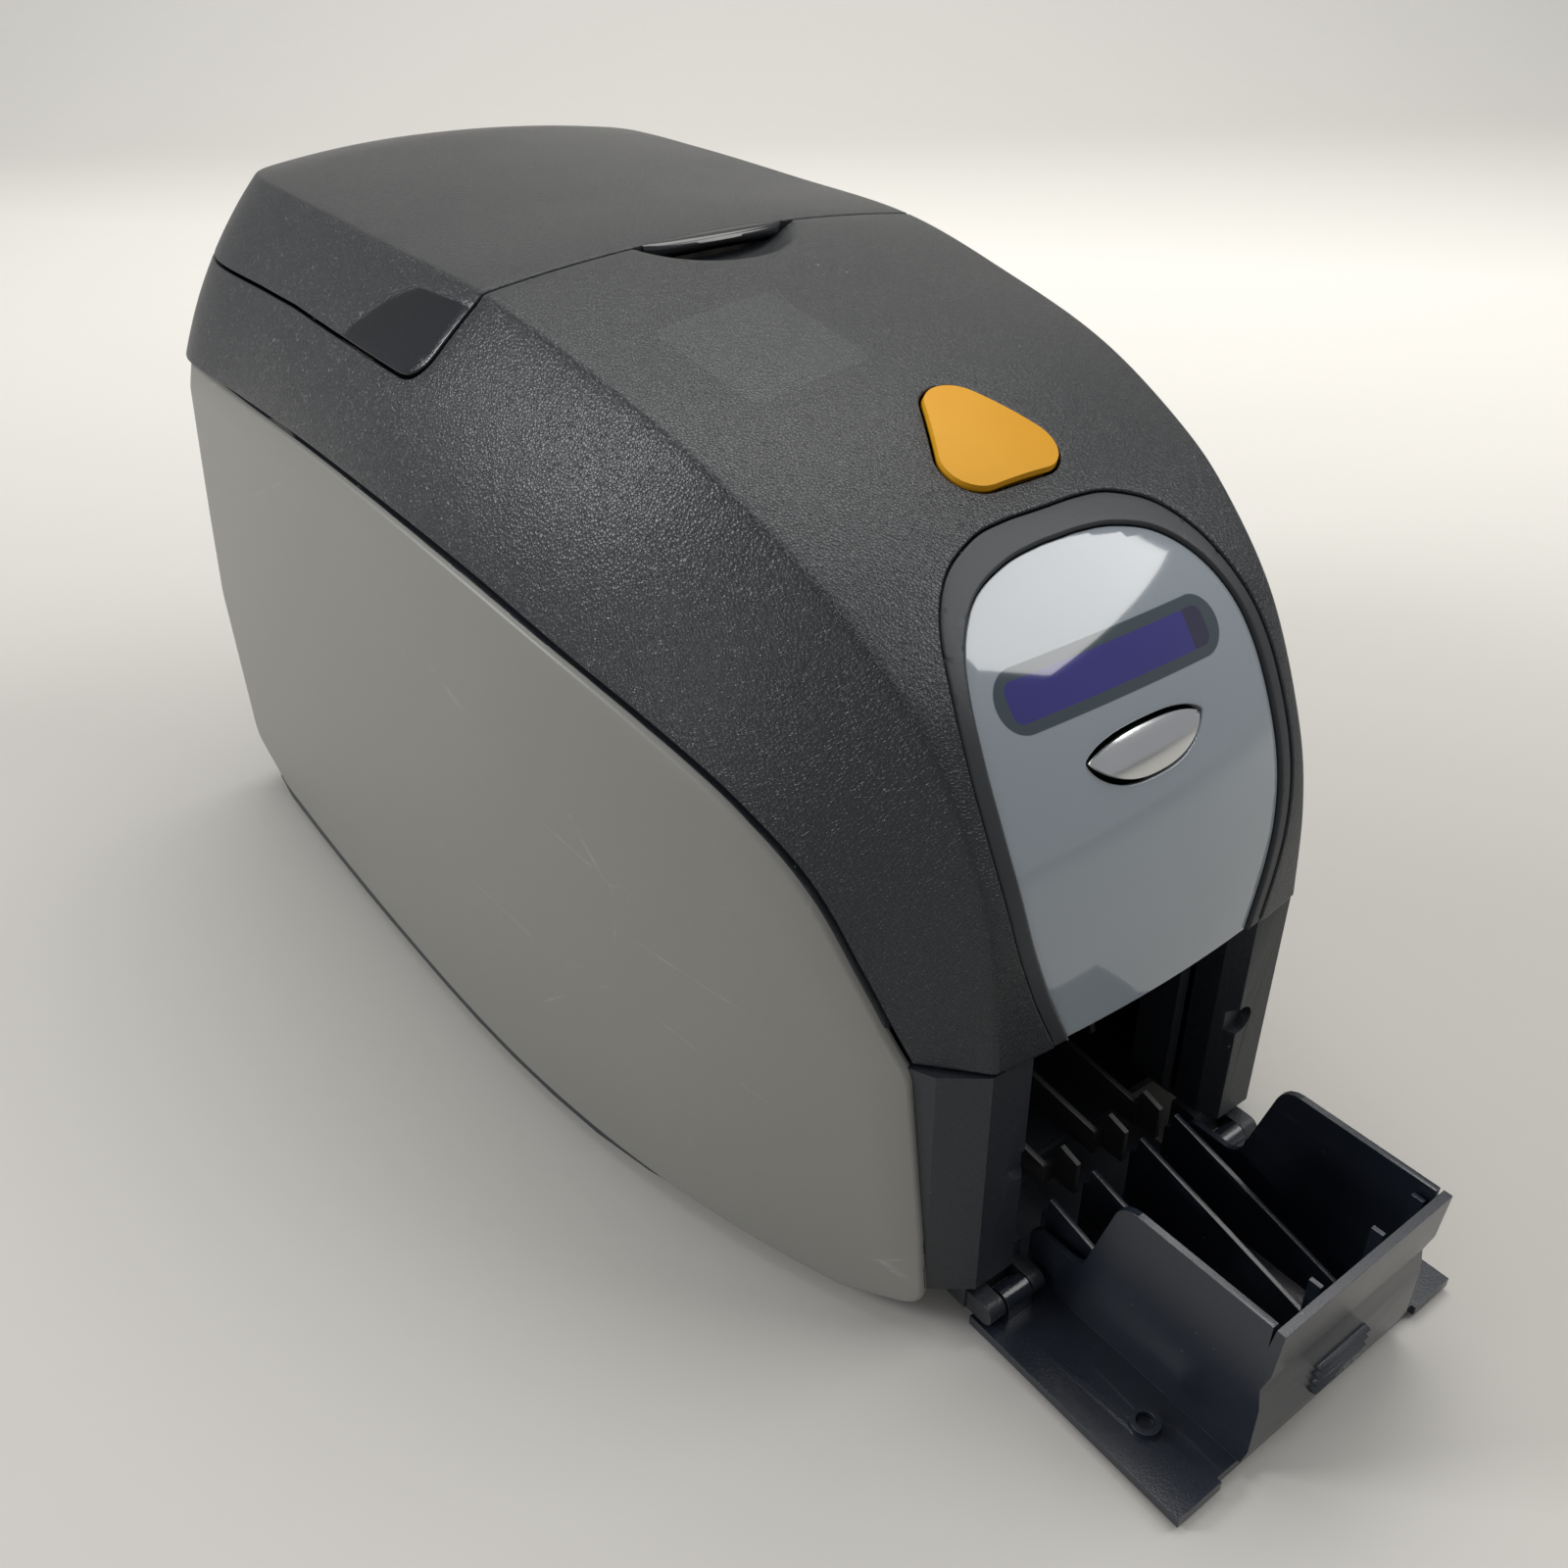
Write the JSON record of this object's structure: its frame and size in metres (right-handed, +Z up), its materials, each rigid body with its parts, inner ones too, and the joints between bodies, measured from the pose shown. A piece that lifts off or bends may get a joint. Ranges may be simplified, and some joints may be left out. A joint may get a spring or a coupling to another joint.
{
  "type": "id card printer",
  "caption": "Desktop ID card printer with a rounded charcoal lid, hinged feeder cover, glass panel with display, amber release button and a fold-down card tray.",
  "frame": {"origin": "on the table under the middle of the closed casing, level with the soles of the rubber feet", "axes": "+Z up, -Y towards the card tray and the front panel, +X to the right-hand side seen from the rear; the printer lies lengthwise along Y"},
  "size_m": [0.194, 0.4262, 0.2255],
  "materials": {
    "charcoal_plastic": "fine leather grain",
    "grey_plastic": "satin, fine grain",
    "tray_plastic": "satin",
    "black_plastic": "satin",
    "panel_lens": "polished, printed on the back",
    "amber_plastic": "satin",
    "silver_plate": "polished",
    "rubber_black": "matt",
    "rubber_red": "tacky",
    "zinc_steel": "zinc plated",
    "bright_steel": "ground",
    "white_acetal": "moulded",
    "circuit_board": "solder mask",
    "motor_black": "black oxide",
    "brass": "machined",
    "print_film": "glossy film",
    "ceramic_white": "glazed",
    "bare_aluminium": "extruded",
    "blue_plastic": "moulded"
  },
  "bodies": {
    "chassis": {"chassis_tub": "charcoal_plastic", "left_side_panel": "grey_plastic", "right_side_panel": "grey_plastic", "left_cheek": "charcoal_plastic", "right_cheek": "charcoal_plastic", "rear_cover": "charcoal_plastic", "rubber_feet": "rubber_black", "left_frame": "zinc_steel", "right_frame": "zinc_steel", "frame_rods": "bright_steel", "card_hopper": "black_plastic", "card_guides": "black_plastic", "shaft_bushes": "white_acetal", "main_board": "circuit_board", "power_socket": "black_plastic", "usb_socket": "silver_plate", "drive_motor": "motor_black", "tray_hinge_pins": "bright_steel", "lid_hinge_pins": "bright_steel", "latch_bar": "bright_steel", "case_screws": "bright_steel", "ribbon_film": "print_film"},
    "print_head": {"print_head": "ceramic_white", "print_head_sink": "bare_aluminium"},
    "feeder_cover": {"feeder_cover": "charcoal_plastic"},
    "release_button": {"release_button": "amber_plastic"},
    "control_button": {"control_button": "silver_plate"},
    "latch": {"latch_lever": "bright_steel"},
    "output_tray": {"output_tray": "tray_plastic"},
    "power_switch": {"power_switch": "black_plastic"},
    "card_weight": {"card_weight": "black_plastic"},
    "thickness_lever": {"thickness_lever": "blue_plastic"},
    "platen": {"platen_shaft": "bright_steel", "platen_rubber": "rubber_black", "platen_gear": "white_acetal"},
    "transport_roller": {"transport_shaft": "white_acetal", "transport_rubber": "rubber_black"},
    "feed_roller": {"feed_shaft": "white_acetal", "feed_rubber": "rubber_black"},
    "exit_roller": {"exit_shaft": "white_acetal", "exit_rubber": "rubber_black"},
    "front_idler": {"front_idler_gear": "white_acetal"},
    "middle_idler": {"middle_idler_gear": "white_acetal"},
    "rear_idler": {"rear_idler_gear": "white_acetal"},
    "motor_pinion": {"motor_pinion": "brass"},
    "exit_pinch": {"exit_pinch_roller": "white_acetal"},
    "transport_pinch": {"transport_pinch_roller": "white_acetal"},
    "cleaning_roller": {"cleaning_roller": "rubber_red"},
    "supply_spool": {"supply_spool": "white_acetal"},
    "takeup_spool": {"takeup_spool": "white_acetal"},
    "lid": {"lid_shell": "charcoal_plastic", "lid_frame": "black_plastic", "panel_bezel": "black_plastic", "front_panel": "panel_lens", "lcd_module": "circuit_board", "head_bracket": "zinc_steel", "head_springs": "bright_steel", "feeder_hinge_pins": "bright_steel", "release_spring": "bright_steel"}
  },
  "joints": [
    {"name": "lid_hinge", "type": "hinge", "parent": "chassis", "child": "lid", "pos_m": [0, 0.178, 0.1697], "axis": [-1, 0, 0], "range_deg": [0, 60]},
    {"name": "feeder_cover_hinge", "type": "hinge", "parent": "lid", "child": "feeder_cover", "pos_m": [0, 0.1835, 0.1995], "axis": [-1, 0, 0], "range_deg": [0, 95]},
    {"name": "release_press", "type": "slide", "parent": "lid", "child": "release_button", "axis": [0, 0.4166, -0.9091], "range_m": [0, 0.003], "stiffness_N_per_m": 800, "deforming": ["release_spring"]},
    {"name": "latch_pivot", "type": "hinge", "parent": "lid", "child": "latch", "pos_m": [0, -0.08645, 0.17686], "axis": [1, 0, 0], "range_deg": [0, 12]},
    {"name": "control_press", "type": "slide", "parent": "lid", "child": "control_button", "axis": [0, 0.901, -0.4339], "range_m": [0, 0.001], "stiffness_N_per_m": 1500},
    {"name": "head_float", "type": "slide", "parent": "lid", "child": "print_head", "axis": [0, -0.2164, 0.9763], "range_m": [0, 0.0015], "stiffness_N_per_m": 4000, "deforming": ["head_springs"]},
    {"name": "tray_hinge", "type": "hinge", "parent": "chassis", "child": "output_tray", "pos_m": [0, -0.177, 0.008], "axis": [-1, 0, 0], "range_deg": [0, 90]},
    {"name": "power_rocker", "type": "hinge", "parent": "chassis", "child": "power_switch", "pos_m": [-0.022, 0.1735, 0.032], "axis": [1, 0, 0], "range_deg": [0, 14]},
    {"name": "card_weight_slide", "type": "slide", "parent": "chassis", "child": "card_weight", "axis": [0, -0.2164, 0.9763], "range_m": [0, 0.06]},
    {"name": "thickness_slide", "type": "slide", "parent": "chassis", "child": "thickness_lever", "axis": [1, 0, 0], "range_m": [0, 0.006]},
    {"name": "platen_spin", "type": "hinge", "parent": "chassis", "child": "platen", "pos_m": [0, -0.04483, 0.08745], "axis": [1, 0, 0], "continuous": true},
    {"name": "transport_spin", "type": "hinge", "parent": "chassis", "child": "transport_roller", "pos_m": [0, 0.01375, 0.10043], "axis": [1, 0, 0], "continuous": true},
    {"name": "feed_spin", "type": "hinge", "parent": "chassis", "child": "feed_roller", "pos_m": [0, 0.07233, 0.11342], "axis": [1, 0, 0], "continuous": true},
    {"name": "exit_spin", "type": "hinge", "parent": "chassis", "child": "exit_roller", "pos_m": [0, -0.10341, 0.07446], "axis": [1, 0, 0], "continuous": true},
    {"name": "front_idler_spin", "type": "hinge", "parent": "chassis", "child": "front_idler", "pos_m": [0, -0.07412, 0.08095], "axis": [1, 0, 0], "continuous": true},
    {"name": "middle_idler_spin", "type": "hinge", "parent": "chassis", "child": "middle_idler", "pos_m": [0, -0.01554, 0.09394], "axis": [1, 0, 0], "continuous": true},
    {"name": "rear_idler_spin", "type": "hinge", "parent": "chassis", "child": "rear_idler", "pos_m": [0, 0.04304, 0.10693], "axis": [1, 0, 0], "continuous": true},
    {"name": "motor_spin", "type": "hinge", "parent": "chassis", "child": "motor_pinion", "pos_m": [0, -0.01067, 0.07197], "axis": [1, 0, 0], "continuous": true},
    {"name": "exit_pinch_spin", "type": "hinge", "parent": "chassis", "child": "exit_pinch", "pos_m": [0, -0.10661, 0.08891], "axis": [1, 0, 0], "continuous": true},
    {"name": "transport_pinch_spin", "type": "hinge", "parent": "chassis", "child": "transport_pinch", "pos_m": [0, 0.01054, 0.11488], "axis": [1, 0, 0], "continuous": true},
    {"name": "cleaning_spin", "type": "hinge", "parent": "chassis", "child": "cleaning_roller", "pos_m": [0, -0.01612, 0.11041], "axis": [1, 0, 0], "continuous": true},
    {"name": "supply_spin", "type": "hinge", "parent": "chassis", "child": "supply_spool", "pos_m": [0, -0.01216, 0.13873], "axis": [1, 0, 0], "continuous": true},
    {"name": "takeup_spin", "type": "hinge", "parent": "chassis", "child": "takeup_spool", "pos_m": [0, -0.09807, 0.11969], "axis": [1, 0, 0], "continuous": true}
  ],
  "couplings": [
    {"joint": "transport_spin", "follows": "platen_spin", "ratio": 1},
    {"joint": "feed_spin", "follows": "platen_spin", "ratio": 1},
    {"joint": "exit_spin", "follows": "platen_spin", "ratio": 1},
    {"joint": "front_idler_spin", "follows": "platen_spin", "ratio": -1},
    {"joint": "middle_idler_spin", "follows": "platen_spin", "ratio": -1},
    {"joint": "rear_idler_spin", "follows": "platen_spin", "ratio": -1},
    {"joint": "motor_spin", "follows": "platen_spin", "ratio": 2},
    {"joint": "latch_pivot", "follows": "release_press", "rad_per_m": 65}
  ]
}
